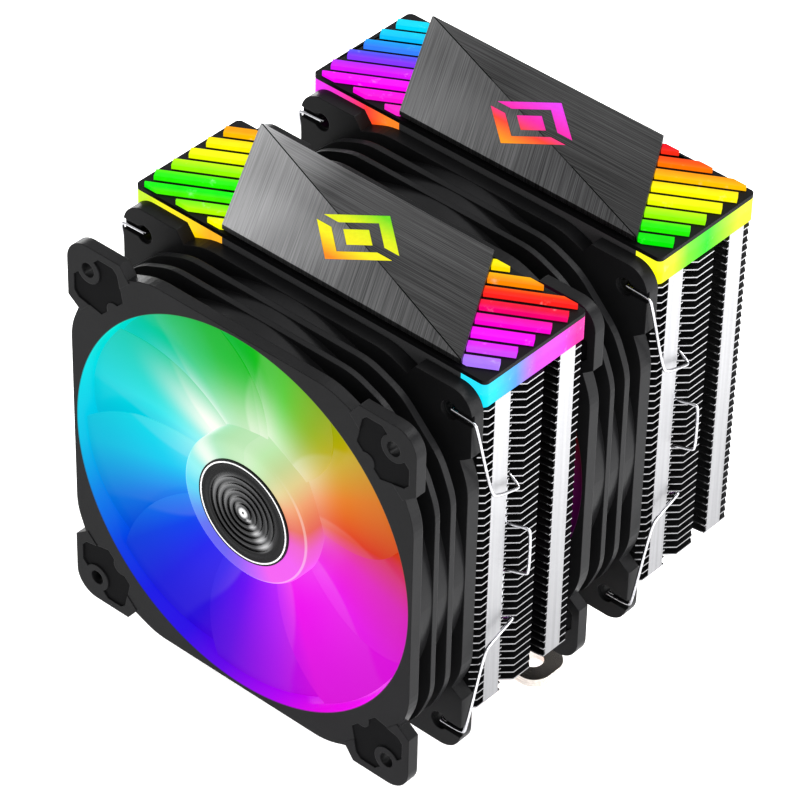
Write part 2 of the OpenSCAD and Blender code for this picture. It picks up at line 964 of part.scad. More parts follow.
at_fan(front_fan_y) fan_frame();  // front_fan_frame
at_fan(front_fan_y) fan_pads();  // front_fan_pads
at_fan(front_fan_y) fan_bearing();  // front_fan_bearing
at_fan(front_fan_y) fan_stator();  // front_fan_stator
at_fan(front_fan_y) fan_windings();  // front_fan_windings
at_fan(front_fan_y) fan_motor_board();  // front_fan_motor_board
at_fan(front_fan_y) fan_led_board();  // front_fan_led_board
at_fan(front_fan_y) fan_impeller();  // front_fan_impeller
at_fan(front_fan_y) fan_yoke();  // front_fan_yoke
at_fan(front_fan_y) fan_magnet();  // front_fan_magnet
at_fan(front_fan_y) fan_shaft();  // front_fan_shaft
at_fan(front_fan_y) fan_hub_cap();  // front_fan_hub_cap
at_fan(front_fan_y) fan_hub_ring();  // front_fan_hub_ring

at_fan(middle_fan_y) fan_frame();  // middle_fan_frame
at_fan(middle_fan_y) fan_pads();  // middle_fan_pads
at_fan(middle_fan_y) fan_bearing();  // middle_fan_bearing
at_fan(middle_fan_y) fan_stator();  // middle_fan_stator
at_fan(middle_fan_y) fan_windings();  // middle_fan_windings
at_fan(middle_fan_y) fan_motor_board();  // middle_fan_motor_board
at_fan(middle_fan_y) fan_led_board();  // middle_fan_led_board
at_fan(middle_fan_y) fan_impeller();  // middle_fan_impeller
at_fan(middle_fan_y) fan_yoke();  // middle_fan_yoke
at_fan(middle_fan_y) fan_magnet();  // middle_fan_magnet
at_fan(middle_fan_y) fan_shaft();  // middle_fan_shaft
at_fan(middle_fan_y) fan_hub_cap();  // middle_fan_hub_cap
at_fan(middle_fan_y) fan_hub_ring();  // middle_fan_hub_ring

at_fan(front_fan_y) fan_clip(1);  // front_fan_clip_right
at_fan(front_fan_y) fan_clip(-1);  // front_fan_clip_left
at_fan(middle_fan_y) fan_clip(1);  // middle_fan_clip_right
at_fan(middle_fan_y) fan_clip(-1);  // middle_fan_clip_left
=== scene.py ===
import math

import bmesh
import bpy
from mathutils import Euler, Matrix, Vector


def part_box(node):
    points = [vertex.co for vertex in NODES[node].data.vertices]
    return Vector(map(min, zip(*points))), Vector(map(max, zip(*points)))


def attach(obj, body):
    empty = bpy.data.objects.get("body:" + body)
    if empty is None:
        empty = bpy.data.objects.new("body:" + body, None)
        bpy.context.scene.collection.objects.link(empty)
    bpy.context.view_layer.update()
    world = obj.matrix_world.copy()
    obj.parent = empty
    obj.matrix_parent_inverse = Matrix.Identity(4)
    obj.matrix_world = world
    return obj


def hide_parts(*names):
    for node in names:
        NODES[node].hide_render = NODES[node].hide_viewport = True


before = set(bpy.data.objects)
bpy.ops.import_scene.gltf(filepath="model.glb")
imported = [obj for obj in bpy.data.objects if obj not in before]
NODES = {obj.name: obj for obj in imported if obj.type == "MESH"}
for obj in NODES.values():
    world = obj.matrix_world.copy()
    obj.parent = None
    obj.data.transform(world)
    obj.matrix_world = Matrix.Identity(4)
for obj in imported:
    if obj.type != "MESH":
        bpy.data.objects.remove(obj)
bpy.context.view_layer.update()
MM = 0.001

# Measures shared with the CAD, in mm
PLATE_W, PLATE_D, PLATE_LEAN = 104, 39.3, 23  # a cover's plate and how far its ends lean
BARS, BAR_PITCH, BAR_MIDDLE = 8, 5.66, 40.5  # light bars of one side, and that side's middle
BAR_FOOT, WALL_TOP, BAND_FOOT = 3.5, 4.1, 11.3  # levels of a cover, down from its plate's top
HUB_R, TIP_R, CAP_SEAT_R = 22.0, 57.1, 15.75
BLADES = 9

# Places read from the frame, in metres
front_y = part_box("front_fan_frame")[0].y
middle_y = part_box("middle_fan_frame")[0].y
low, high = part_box("front_fan_frame")
axis_z = (low.z + high.z) / 2
low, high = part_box("front_cover_plate")
front_cover_y = (low.y + high.y) / 2
low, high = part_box("rear_cover_plate")
rear_cover_y = (low.y + high.y) / 2
cover_top = high.z
cover_half_d = (high.y - low.y) / 2

# --- Node helpers ------------------------------------------------------------


def linear(hex_colour):
    """A display colour such as "#ff8800" as linear RGBA."""
    parts = [int(hex_colour[i : i + 2], 16) / 255 for i in (1, 3, 5)]
    return tuple(
        c / 12.92 if c <= 0.04045 else ((c + 0.055) / 1.055) ** 2.4 for c in parts
    ) + (1.0,)


class Graph:
    """A material under construction. Every call adds a node and returns its first output."""

    def __init__(self, name):
        self.material = bpy.data.materials.new(name)
        self.material.use_nodes = True
        self.tree = self.material.node_tree
        self.tree.nodes.clear()
        # The point in the object's own frame, whole and as x, y and z
        self.where = self.node("ShaderNodeTexCoord", out=3)
        self.x, self.y, self.z = self.split(self.where)

    def node(self, kind, inputs=None, out=0, **settings):
        made = self.tree.nodes.new(kind)
        for key, value in settings.items():
            setattr(made, key, value)
        for key, value in (inputs or {}).items():
            if isinstance(value, bpy.types.NodeSocket):
                self.tree.links.new(value, made.inputs[key])
            else:
                made.inputs[key].default_value = value
        return made.outputs[out] if made.outputs else None

    def math(self, operation, a, b=0.0, c=0.0, clamp=False):
        return self.node(
            "ShaderNodeMath", {0: a, 1: b, 2: c}, operation=operation, use_clamp=clamp
        )

    def split(self, vector):
        """A vector's x, y and z."""
        parts = self.tree.nodes.new("ShaderNodeSeparateXYZ")
        self.tree.links.new(vector, parts.inputs[0])
        return tuple(parts.outputs)

    def vector(self, x=0.0, y=0.0, z=0.0):
        """Three values as one vector."""
        return self.node("ShaderNodeCombineXYZ", {0: x, 1: y, 2: z})

    def turned(self, a, b, by_a, by_b):
        """a * by_a + b * by_b: a coordinate along a slanted line."""
        return self.math("ADD", self.math("MULTIPLY", a, by_a), self.math("MULTIPLY", b, by_b))

    def noise(self, scale, detail=2.0, rough=0.5, where=None):
        """Noise over the point, or over another vector."""
        return self.node(
            "ShaderNodeTexNoise",
            {"Vector": where or self.where, "Scale": scale, "Detail": detail,
             "Roughness": rough},
        )

    def step(self, value, start, end):
        """Smoothly from 0 at start to 1 at end."""
        return self.node(
            "ShaderNodeMapRange",
            {0: value, 1: start, 2: end, 3: 0.0, 4: 1.0},
            interpolation_type="SMOOTHSTEP",
        )

    def ramp(self, value, stops, interpolation="LINEAR"):
        made = self.tree.nodes.new("ShaderNodeValToRGB")
        ramp = made.color_ramp
        ramp.interpolation = interpolation
        while len(ramp.elements) < len(stops):
            ramp.elements.new(0.5)
        for element, (at, colour) in zip(ramp.elements, stops):
            element.position = at
            element.color = linear(colour) if isinstance(colour, str) else (colour,) * 3 + (1,)
        self.tree.links.new(value, made.inputs[0])
        return made.outputs[0]

    def mix(self, factor, a, b, blend="MIX"):
        made = self.tree.nodes.new("ShaderNodeMix")
        made.data_type = "RGBA"
        made.blend_type = blend
        for key, value in ((0, factor), (6, a), (7, b)):
            if isinstance(value, str):
                value = linear(value)
            if isinstance(value, bpy.types.NodeSocket):
                self.tree.links.new(value, made.inputs[key])
            else:
                made.inputs[key].default_value = value
        return made.outputs[2]

    def bump(self, height, distance, over=None):
        """Relief from a height; over is the normal that it is added to."""
        inputs = {"Strength": 1.0, "Distance": distance, "Height": height}
        if over is not None:
            inputs["Normal"] = over
        return self.node("ShaderNodeBump", inputs)

    def round_edges(self, radius):
        """A normal that rounds the edges in the shading only."""
        return self.node("ShaderNodeBevel", {"Radius": radius}, samples=6)

    def finish(self, **inputs):
        """Ends the graph in a Principled shader; names use _ for spaces."""
        values = {key.replace("_", " "): value for key, value in inputs.items()}
        shader = self.node("ShaderNodeBsdfPrincipled", values)
        self.node("ShaderNodeOutputMaterial", {"Surface": shader})
        return self.material


# --- Materials: plastics and metals ---------------------------------------------


def plastic(name, dark, light, rough=0.45, grain=2600, relief=0.00002, specular=0.5,
            glow=None, edge=None):
    """Moulded plastic with a fine eroded grain and soft changes in tone.

    glow adds emission, and edge is a radius in metres that the shading rounds edges to.
    """
    g = Graph(name)
    fine = g.noise(grain, 3, 0.6)
    broad = g.noise(60, 3)
    tone = g.math("ADD", g.math("MULTIPLY", fine, 0.4), g.math("MULTIPLY", broad, 0.6))
    extra = glow(g) if glow else {}
    return g.finish(
        Base_Color=g.ramp(tone, [(0.3, dark), (0.7, light)]),
        Roughness=g.math("ADD", g.math("MULTIPLY", broad, 0.16), rough - 0.08),
        Normal=g.bump(fine, relief, over=g.round_edges(edge) if edge else None),
        Specular_IOR_Level=specular,
        **extra,
    )


def metal(name, dark, light, rough=0.3, along=(1, 1, 1), scale=900, relief=0.000006):
    """Metal with a worked surface; along stretches the marks."""
    g = Graph(name)
    stretched = g.vector(*[g.math("MULTIPLY", c, k) for c, k in zip((g.x, g.y, g.z), along)])
    marks = g.noise(scale, 4, 0.6, where=stretched)
    patches = g.noise(45, 3, 0.6)
    tone = g.math("MULTIPLY_ADD", marks, 0.5, g.math("MULTIPLY", patches, 0.5))
    return g.finish(
        Base_Color=g.ramp(tone, [(0.3, dark), (0.7, light)]),
        Metallic=1.0,
        Roughness=g.math("MULTIPLY_ADD", patches, 0.2, rough - 0.1),
        Normal=g.bump(marks, relief),
    )


# Hues round a lit fan, clockwise from the top as seen from the front
WHEEL = [
    (0.00, "#0cc81c"), (0.04, "#50d000"), (0.08, "#98bc00"), (0.12, "#d0b400"),
    (0.16, "#e88400"), (0.215, "#e03800"), (0.26, "#e81cc8"), (0.32, "#ec00ec"),
    (0.42, "#ec00ec"), (0.47, "#b800f8"), (0.52, "#7000f0"), (0.56, "#3408ec"),
    (0.60, "#1c1cec"), (0.64, "#0048ec"), (0.68, "#0088f0"), (0.73, "#00cdf0"),
    (0.80, "#00e8ee"), (0.87, "#00dcc0"), (0.92, "#04cf78"), (0.96, "#08c83c"),
    (1.00, "#0cc81c"),
]


def around(g):
    """Turns about a fan's axis, clockwise from the top, and the distance from it."""
    up = g.math("SUBTRACT", g.z, axis_z)
    turn = g.math("FRACT", g.math("DIVIDE", g.math("ARCTAN2", g.x, up), 2 * math.pi))
    square = g.math("ADD", g.math("MULTIPLY", g.x, g.x), g.math("MULTIPLY", up, up))
    return turn, g.math("SQRT", square)


def duct_glow(fan_y, strength):
    """Light that the rotor throws on the duct's wall."""

    def glow(g):
        turn, radius = around(g)
        wall = g.math("LESS_THAN", radius, 58.45 * MM)
        depth = g.math("SUBTRACT", g.y, fan_y)
        fall = g.math("SUBTRACT", 1.0, g.step(depth, 14 * MM, 23 * MM))
        front = g.step(depth, -0.1 * MM, 0.5 * MM)
        beyond_tips = g.step(radius, 57.2 * MM, 58 * MM)
        amount = g.math("MULTIPLY", g.math("MULTIPLY", wall, beyond_tips),
                        g.math("MULTIPLY", fall, front))
        return {
            "Emission_Color": g.ramp(turn, WHEEL),
            "Emission_Strength": g.math("MULTIPLY", amount, strength),
        }

    return glow


def rotor_light(name, hub, rim=0.8):
    """Clear plastic lit from behind: hues round the fan, streaks and a pale haze by the hub.

    rim is the light's strength at the blades' tips, against 1 at the hub.
    """
    g = Graph(name)
    turn, radius = around(g)
    hue = g.ramp(turn, WHEEL)
    reach = g.step(radius, HUB_R * MM, 57 * MM)
    haze_side = g.ramp(turn, [(0.0, 0.75), (0.1, 0.5), (0.2, 0.22), (0.3, 0.07), (0.5, 0.02),
                              (0.7, 0.05), (0.81, 0.4), (0.865, 1.0), (0.92, 0.6), (1.0, 0.7)],
                       "EASE")
    haze_end = g.math("MULTIPLY_ADD", haze_side, 25 * MM, 33 * MM)
    near = g.math("POWER", g.math("SUBTRACT", 1.0, g.step(radius, 16 * MM, haze_end)), 1.5)
    haze = g.math("MULTIPLY", near, haze_side)
    if hub:
        off_line = g.math("ABSOLUTE", g.math("SUBTRACT", radius, (HUB_R - 0.8) * MM))
        line = g.math("SUBTRACT", 1.0, g.step(off_line, 0.15 * MM, 0.45 * MM))
        light = g.math("MAXIMUM", g.math("MULTIPLY", haze, 0.85), g.math("MULTIPLY", line, 0.4))
        light = g.math("MAXIMUM", light, 0.14)
    else:
        swirl = g.math("MULTIPLY_ADD", reach, -0.32, 0.25)
        phase = g.math("FRACT", g.math("MULTIPLY_ADD", turn, BLADES, swirl))
        fading = g.math("POWER", g.math("SUBTRACT", 1.0, phase), 1.7)
        streak = g.math("MULTIPLY", fading, g.step(phase, 0.0, 0.07))
        fade = g.math("MULTIPLY_ADD", reach, -0.75, 1.0)
        strength = g.math("MULTIPLY_ADD", haze_side, 0.16, 0.05)
        light = g.math("MULTIPLY", g.math("MULTIPLY", streak, fade), strength)
        light = g.math("ADD", light, haze, clamp=True)
    ripple = g.noise(700, 3)
    colour = g.mix(light, hue, "#fffdf4")
    dim = g.math("MULTIPLY_ADD", reach, rim - 1, 1.0)
    return g.finish(
        Base_Color=g.mix(0.95, colour, "#08080a"),
        Roughness=g.math("MULTIPLY_ADD", ripple, 0.15, 0.25),
        Specular_IOR_Level=0.03,
        Emission_Color=colour,
        Emission_Strength=dim,
        Normal=g.bump(ripple, 0.000008),
    )


def coated_fins():
    """Black-coated sheet whose folded tabs are left bright, and its cut sides where they face
    sideways or lie at the outer ends; cut sides facing front or back stay dark. Painted shade
    darkens the bright parts towards the bottom.
    """
    g = Graph("coated_fins")
    normal_x, _, normal_z = g.split(g.node("ShaderNodeNewGeometry", out=1))
    sideways = g.step(g.math("ABSOLUTE", normal_x), 0.3, 0.6)
    outer = g.step(g.math("ABSOLUTE", g.x), 58.6 * MM, 59.2 * MM)
    upright = g.math("LESS_THAN", g.math("ABSOLUTE", normal_z), 0.5)
    cut = g.math("MULTIPLY", g.math("MAXIMUM", sideways, outer), upright)
    rolled = g.noise(1, 3, where=g.vector(g.math("MULTIPLY", g.y, 900),
                                          g.math("MULTIPLY", g.z, 12)))
    nicks = g.noise(420, 4, 0.6)
    # Painted shade: the bright cut sides are darker at the bottom and lighter at the top.
    height = g.step(g.z, 30 * MM, 150 * MM)
    bright = g.mix(height, g.ramp(rolled, [(0.3, "#868688"), (0.7, "#949496")]),
                   g.ramp(rolled, [(0.3, "#a2a2a4"), (0.7, "#acacae")]))
    dark = g.ramp(nicks, [(0.3, "#080809"), (0.7, "#151516")])
    return g.finish(
        Base_Color=g.mix(cut, dark, bright),
        Metallic=cut,
        Roughness=g.math("MULTIPLY_ADD", nicks, 0.12, 0.34),
        Specular_IOR_Level=0.3,
        Normal=g.bump(nicks, 0.000004),
    )


def brushed_plate(name, cover_y, left_sheen, right_sheen):
    """Dark brushed metal: two fields meet along the diagonal, each brushed its own way, under a
    painted sheen that is lighter towards the left end.
    """
    g = Graph(name)
    up = g.math("SUBTRACT", g.y, cover_y)
    slope = math.atan2(2 * cover_half_d, PLATE_W * MM)
    side = g.turned(g.x, up, math.sin(slope), math.cos(slope))
    upper = g.math("GREATER_THAN", side, 0.0)
    lean = math.atan2(PLATE_LEAN, PLATE_D)
    along = g.turned(g.x, up, -math.sin(lean), math.cos(lean))
    across = g.turned(g.x, up, math.cos(lean), math.sin(lean))

    def brushing(length, width):
        strokes = g.vector(g.math("MULTIPLY", length, 22), g.math("MULTIPLY", width, 3000))
        return g.noise(1, 4, 0.6, where=strokes)

    grain = g.mix(upper, brushing(along, across), brushing(g.x, g.y))
    # Painted sheen: each field's tone runs from light at the left end to dark at the right.
    place = g.math("MULTIPLY_ADD", g.x, 1 / (PLATE_W * MM), 0.5)
    tone = g.mix(upper, g.ramp(place, left_sheen, "EASE"), g.ramp(place, right_sheen, "EASE"))
    worked = g.mix(g.step(grain, 0.25, 0.75), g.mix(0.3, tone, "#101010"),
                   g.mix(0.07, tone, "#ffffff"))
    seam = g.math("LESS_THAN", g.math("ABSOLUTE", side), 0.16 * MM)
    return g.finish(
        Base_Color=g.mix(seam, worked, "#0a0a0a"),
        Metallic=0.92,
        Roughness=g.math("MULTIPLY_ADD", grain, 0.22, 0.3),
        Anisotropic=0.5,
        Normal=g.bump(grain, 0.000008),
    )


def lit_cover(name, cover_y, bars_left, bars_right, band_left, band_right):
    """Lit clear plastic: bars on top, each its own hue, and a band round the cover."""
    g = Graph(name)
    up = g.math("SUBTRACT", g.y, cover_y)
    lean = math.atan2(PLATE_LEAN, PLATE_D)
    right = g.math("GREATER_THAN", g.x, 0.0)
    middle = g.math("MULTIPLY_ADD", right, 2 * BAR_MIDDLE * MM, -BAR_MIDDLE * MM)
    off = g.math("SUBTRACT", g.x, middle)
    stack = g.turned(up, off, math.cos(lean), -math.sin(lean))
    place = g.math("MULTIPLY_ADD", stack, 1 / (BARS * BAR_PITCH * MM), 0.5)

    def stops(colours):
        n = len(colours)
        return [((i + 0.5) / n, c) for i, c in enumerate(colours)]

    bars = g.mix(right, g.ramp(place, stops(bars_left)), g.ramp(place, stops(bars_right)))
    half_w, lit_w = 60, 31
    along_left = g.math("MULTIPLY_ADD", g.x, 1 / (lit_w * MM), half_w / lit_w)
    along_right = g.math("MULTIPLY_ADD", up, 1 / (2 * cover_half_d), 0.5)
    band = g.mix(right, g.ramp(along_left, stops(band_left)),
                 g.ramp(along_right, stops(band_right)))
    top = g.math("GREATER_THAN", g.z, cover_top - BAR_FOOT * MM)
    hue = g.mix(top, band, bars)
    clouds = g.noise(260, 4, 0.6)
    depth = g.step(g.z, cover_top - BAND_FOOT * MM, cover_top - WALL_TOP * MM)
    # Painted highlights: whitish clouds of glare over bars and band, and a faint painted sheen on
    # the band's upper part.
    pale = g.math("MULTIPLY", g.step(clouds, 0.62, 0.78), 0.2)
    painted_band_sheen = g.math("MULTIPLY", g.step(depth, 0.35, 0.8), 0.03)
    light = g.math("MAXIMUM", pale, g.math("MULTIPLY", painted_band_sheen, g.math("SUBTRACT", 1.0, top)))
    colour = g.mix(light, hue, "#ffffff")
    return g.finish(
        Base_Color=g.mix(0.97, colour, "#08080a"),
        Roughness=g.math("MULTIPLY_ADD", clouds, 0.2, 0.15),
        Specular_IOR_Level=0.08,
        Emission_Color=colour,
        Emission_Strength=g.math("MULTIPLY_ADD", clouds, 0.3, 0.9),
        Normal=g.bump(clouds, 0.00005),
    )


def lit_emblem(name, cover_y, colours):
    """Lit clear plastic whose hue runs over the emblem's depth."""
    g = Graph(name)
    emblem_d = 22 * MM
    along = g.math("MULTIPLY_ADD", g.math("SUBTRACT", g.y, cover_y), 1 / emblem_d, 0.5)
    grain = g.noise(900, 2)
    colour = g.ramp(along, colours)
    return g.finish(
        Base_Color=g.mix(0.95, colour, "#101010"),
        Roughness=g.math("MULTIPLY_ADD", grain, 0.2, 0.3),
        Specular_IOR_Level=0.1,
        Emission_Color=colour,
        Emission_Strength=g.math("MULTIPLY_ADD", grain, 0.15, 0.88),
    )


def turned_cap():
    """Black cap with turned rings in its middle, made bright by a painted highlight that changes
    round the cap, with a painted glint at its centre.
    """
    g = Graph("hub_black")
    ring_pitch = 2 * MM
    turn, radius = around(g)
    turned = g.math("SUBTRACT", 1.0, g.step(radius, 11.4 * MM, 12.2 * MM))
    lines = g.noise(1, 3, where=g.vector(g.math("MULTIPLY", radius, 5200)))
    wave = g.math("SINE", g.math("MULTIPLY", radius, 2 * math.pi / ring_pitch))
    rings = g.math("MULTIPLY_ADD", wave, 0.5, 0.5)
    # Painted highlight: how bright the rings are is set by the turn round the cap.
    sheen = g.ramp(turn, [(0.0, 0.1), (0.12, 0.04), (0.3, 0.06), (0.37, 0.5), (0.44, 0.06),
                          (0.62, 0.04), (0.85, 0.22), (1.0, 0.1)], "EASE")
    tone = g.math("MULTIPLY", g.math("MULTIPLY_ADD", rings, 0.7, 0.3), sheen)
    # A painted glint at the centre of the cap.
    middle = g.math("SUBTRACT", 1.0, g.step(radius, 0.7 * MM, 2.1 * MM))
    bright = g.ramp(g.math("MAXIMUM", tone, middle), [(0.0, "#1c1c1d"), (1.0, "#e8e8e8")])
    black = g.ramp(lines, [(0.3, "#0c0c0d"), (0.7, "#141415")])
    relief = g.math("MULTIPLY_ADD", rings, 0.7, g.math("MULTIPLY", lines, 0.3))
    return g.finish(
        Base_Color=g.mix(turned, black, bright),
        Metallic=turned,
        Roughness=g.math("MULTIPLY_ADD", lines, 0.2, 0.22),
        Specular_IOR_Level=0.1,
        Normal=g.bump(relief, 0.00008),
    )


def cover_plastic():
    """Black plastic of the covers; the walls under the plate are painted a lighter, duller grey,
    which is painted light standing in for the light they catch.
    """
    g = Graph("cover_black")
    grain = g.noise(3200, 3, 0.6)
    # Painted light: the walls under the plate get a lighter base than the top faces.
    wall = g.math("LESS_THAN", g.z, cover_top - WALL_TOP * MM)
    return g.finish(
        Base_Color=g.mix(wall, g.ramp(grain, [(0.3, "#0a0a0b"), (0.7, "#131314")]),
                         g.ramp(grain, [(0.3, "#404041"), (0.7, "#4c4c4d")])),
        Roughness=g.math("MULTIPLY_ADD", grain, 0.15, 0.35),
        Specular_IOR_Level=0.08,
        Normal=g.bump(grain, 0.00002),
    )


def board(name, dark, light):
    """Solder mask over faint traces."""
    g = Graph(name)
    traces = g.node("ShaderNodeTexVoronoi", {"Vector": g.where, "Scale": 500.0},
                    distance="MANHATTAN")
    lines = g.step(traces, 0.25, 0.35)
    return g.finish(
        Base_Color=g.mix(lines, dark, light),
        Roughness=g.math("MULTIPLY_ADD", lines, 0.15, 0.35),
        Normal=g.bump(lines, 0.00003),
    )


def windings():
    """Enamelled wire, wound in close turns."""
    g = Graph("copper_wire")
    turns = g.node("ShaderNodeTexWave", {"Vector": g.where, "Scale": 500.0, "Distortion": 1.0},
                   out=1, bands_direction="Y")
    return g.finish(
        Base_Color=g.ramp(turns, [(0.0, "#6a2c10"), (1.0, "#d07838")]),
        Metallic=0.8,
        Roughness=g.math("MULTIPLY_ADD", turns, 0.2, 0.25),
        Normal=g.bump(turns, 0.0001),
    )


front_frame_plastic = plastic("front_frame", "#151516", "#1e1e1f", 0.34, specular=0.08,
                              glow=duct_glow(front_y, 0.95), edge=0.35 * MM)
middle_frame_plastic = plastic("middle_frame", "#151516", "#1e1e1f", 0.34, specular=0.08,
                               glow=duct_glow(middle_y, 0.1), edge=0.3 * MM)
pads = plastic("rubber_pad", "#08080a", "#0e0e0f", 0.7, 1800, 0.00003, 0.08, edge=0.15 * MM)
cover_black = cover_plastic()
white_board = board("white_board", "#c8ccc8", "#eef0ec")
green_board = board("green_board", "#0c3c20", "#1c6a38")
fins = coated_fins()
copper = metal("copper_base", "#a85c3c", "#e09878", 0.22, (1, 0.05, 1), 1800)
aluminium = metal("machined_aluminium", "#9c9ca0", "#dcdce0", 0.3, (0.05, 1, 1), 1500)
nickel = metal("nickel_pipe", "#b8b4ac", "#e8e4dc", 0.16)
bar_steel = metal("bar_steel", "#b0a8a0", "#ece6e0", 0.2, (0.05, 1, 1), 1500)
dark_steel = metal("dark_steel", "#3a3a3c", "#6c6c70", 0.35)
bronze = metal("bronze_bush", "#8a6428", "#c8a058", 0.4, (1, 1, 1), 1600)
lamination = metal("lamination_steel", "#6a6c70", "#a8aaae", 0.35, (0.02, 1, 0.02), 2200, 0.00003)
yoke_steel = metal("yoke_steel", "#707276", "#a4a6aa", 0.35)
polished = metal("polished_steel", "#c8c8cc", "#f0f0f4", 0.12)
ferrite = plastic("ferrite", "#1e1e20", "#303034", 0.6, 1400)
trim = plastic("white_trim", "#e8e8e8", "#ffffff", 0.3)
wire_steel = metal("spring_wire", "#8c8c90", "#e4e4e8", 0.2, (1, 1, 1), 1200)
blade_light = {"front": rotor_light("front_blade_light", False),
               "middle": rotor_light("middle_blade_light", False, 0.03)}
hub_light = rotor_light("hub_light", True)

front_diffuser = lit_cover(
    "front_lit_cover", front_cover_y,
    ["#f8f800", "#90f800", "#00f000", "#30f400", "#b0f800", "#fcfc00", "#fcf000", "#ffac00"],
    ["#b080ff", "#e030ff", "#fc00fc", "#f800c0", "#f00048", "#fc3000", "#ffa400", "#fff000"],
    ["#c8f000", "#fff000", "#ffe000", "#ffb800"],
    ["#00e4ff", "#58a8ff", "#e050ff", "#ff48fc", "#ff20b0"],
)
rear_diffuser = lit_cover(
    "rear_lit_cover", rear_cover_y,
    ["#fc30d0", "#fc00e0", "#fc00fc", "#d020ff", "#6848ff", "#2098ff", "#00d0fc", "#00dcf4"],
    ["#00e800", "#30f000", "#b0f800", "#fcfc00", "#fff000", "#ffb000", "#ff6000", "#f00820"],
    ["#f018f0", "#f830b0", "#ff3030", "#ff8800"],
    ["#ffff00", "#80ff00", "#10f400", "#b8ff10", "#ffff20"],
)
front_emblem = lit_emblem("front_lit_emblem", front_cover_y,
                          [(0.0, "#ff9000"), (0.3, "#fff000"), (0.7, "#e0f000"), (1.0, "#70e000")])
rear_emblem = lit_emblem("rear_lit_emblem", rear_cover_y,
                         [(0.0, "#ffa000"), (0.3, "#ff4830"), (0.55, "#f820b0"), (1.0, "#f040f8")])

PIPES = 6
COVER = {
    "cover_base": cover_black, "cover_led_board": white_board, "cover_frame": cover_black,
}
FAN = {
    "fan_pads": pads, "fan_bearing": bronze, "fan_stator": lamination,
    "fan_windings": windings(), "fan_motor_board": green_board, "fan_led_board": white_board,
    "fan_yoke": yoke_steel, "fan_magnet": ferrite, "fan_shaft": polished,
    "fan_hub_cap": turned_cap(), "fan_hub_ring": trim,
}
FINISHES = {
    "cold_plate": copper, "base_block": aluminium, "mounting_bar": bar_steel,
    "mounting_bar_screws": dark_steel, "front_fin_stack": fins, "rear_fin_stack": fins,
    "front_cover_diffuser": front_diffuser, "rear_cover_diffuser": rear_diffuser,
    "front_cover_plate": brushed_plate(
        "front_brushed", front_cover_y,
        [(0.0, "#a4a4a5"), (0.22, "#8c8c8d"), (0.4, "#686869"), (0.62, "#444445"),
         (1.0, "#303031")],
        [(0.0, "#b0b0b1"), (0.14, "#868687"), (0.34, "#2e2e2f"), (0.55, "#161617"),
         (0.8, "#1c1c1d"), (1.0, "#121213")]),
    # The rear plate's darker stops are painted shade on the same metal as the front plate.
    "rear_cover_plate": brushed_plate(
        "rear_brushed", rear_cover_y,
        [(0.0, "#646465"), (0.25, "#545455"), (0.45, "#3e3e3f"), (0.7, "#28282a"),
         (1.0, "#202021")],
        [(0.0, "#484849"), (0.14, "#2c2c2d"), (0.34, "#121213"), (0.55, "#070708"),
         (0.8, "#09090a"), (1.0, "#070708")]),
    "front_cover_emblem": front_emblem, "rear_cover_emblem": rear_emblem,
    "front_fan_frame": front_frame_plastic, "middle_fan_frame": middle_frame_plastic,
}
for i in range(1, PIPES + 1):
    FINISHES["heat_pipe_%d" % i] = nickel
for side in ("front", "rear"):
    for name, material in COVER.items():
        FINISHES[side + "_" + name] = material
for side in ("front", "middle"):
    for name, material in FAN.items():
        FINISHES[side + "_" + name] = material


def paint(obj, material):
    """Puts one material in all of an object's slots."""
    if not obj.material_slots:
        obj.data.materials.append(material)
    for slot in obj.material_slots:
        slot.material = material


for name, material in FINISHES.items():
    paint(NODES[name], material)

# --- Softened edges on the CAD pieces ---------------------------------------------

# Bevel widths in mm, by the ends of node names
SOFT_EDGES = {
    "cover_frame": 0.12, "cover_plate": 0.18, "cover_diffuser": 0.15, "cover_emblem": 0.08,
    "mounting_bar": 0.2, "cold_plate": 0.25, "base_block": 0.25, "mounting_bar_screws": 0.12,
}
for name, node in NODES.items():
    width = next((w for key, w in SOFT_EDGES.items() if name.endswith(key)), None)
    if width is None:
        continue
    weld = node.modifiers.new("weld", "WELD")
    weld.merge_threshold = 0.000002
    flat = node.modifiers.new("merge_flats", "DECIMATE")
    flat.decimate_type = "DISSOLVE"
    flat.angle_limit = math.radians(0.6)
    soft = node.modifiers.new("soft_edges", "BEVEL")
    soft.width = width * MM
    soft.segments = 2
    soft.limit_method = "ANGLE"
    soft.angle_limit = math.radians(30)
    soft.miter_outer = "MITER_ARC"
    even = node.modifiers.new("even_shading", "WEIGHTED_NORMAL")
    even.keep_sharp = False
    even.weight = 100
    node.data.shade_smooth()

# --- Rotors -------------------------------------------------------------------------


def new_object(name, bm, material, smooth=True):
    """A linked object from a bmesh, which is freed."""
    mesh = bpy.data.meshes.new(name)
    bmesh.ops.recalc_face_normals(bm, faces=bm.faces)
    bm.to_mesh(mesh)
    bm.free()
    obj = bpy.data.objects.new(name, mesh)
    bpy.context.scene.collection.objects.link(obj)
    paint(obj, material)
    if smooth:
        mesh.shade_smooth()
        mesh.set_sharp_from_angle(angle=math.radians(40))
    return obj


def revolve(profile, fan_y, steps=96):
    """A closed [radius, depth] outline in mm, turned about a fan's axis."""
    bm = bmesh.new()
    rings = []
    for k in range(steps):
        a = 2 * math.pi * k / steps
        rings.append([
            bm.verts.new((r * math.cos(a) * MM, fan_y + d * MM, axis_z + r * math.sin(a) * MM))
            for r, d in profile
        ])
    for k in range(steps):
        a, b = rings[k], rings[(k + 1) % steps]
        for j in range(len(profile)):
            n = (j + 1) % len(profile)
            bm.faces.new((a[j], a[n], b[n], b[j]))
    return bm


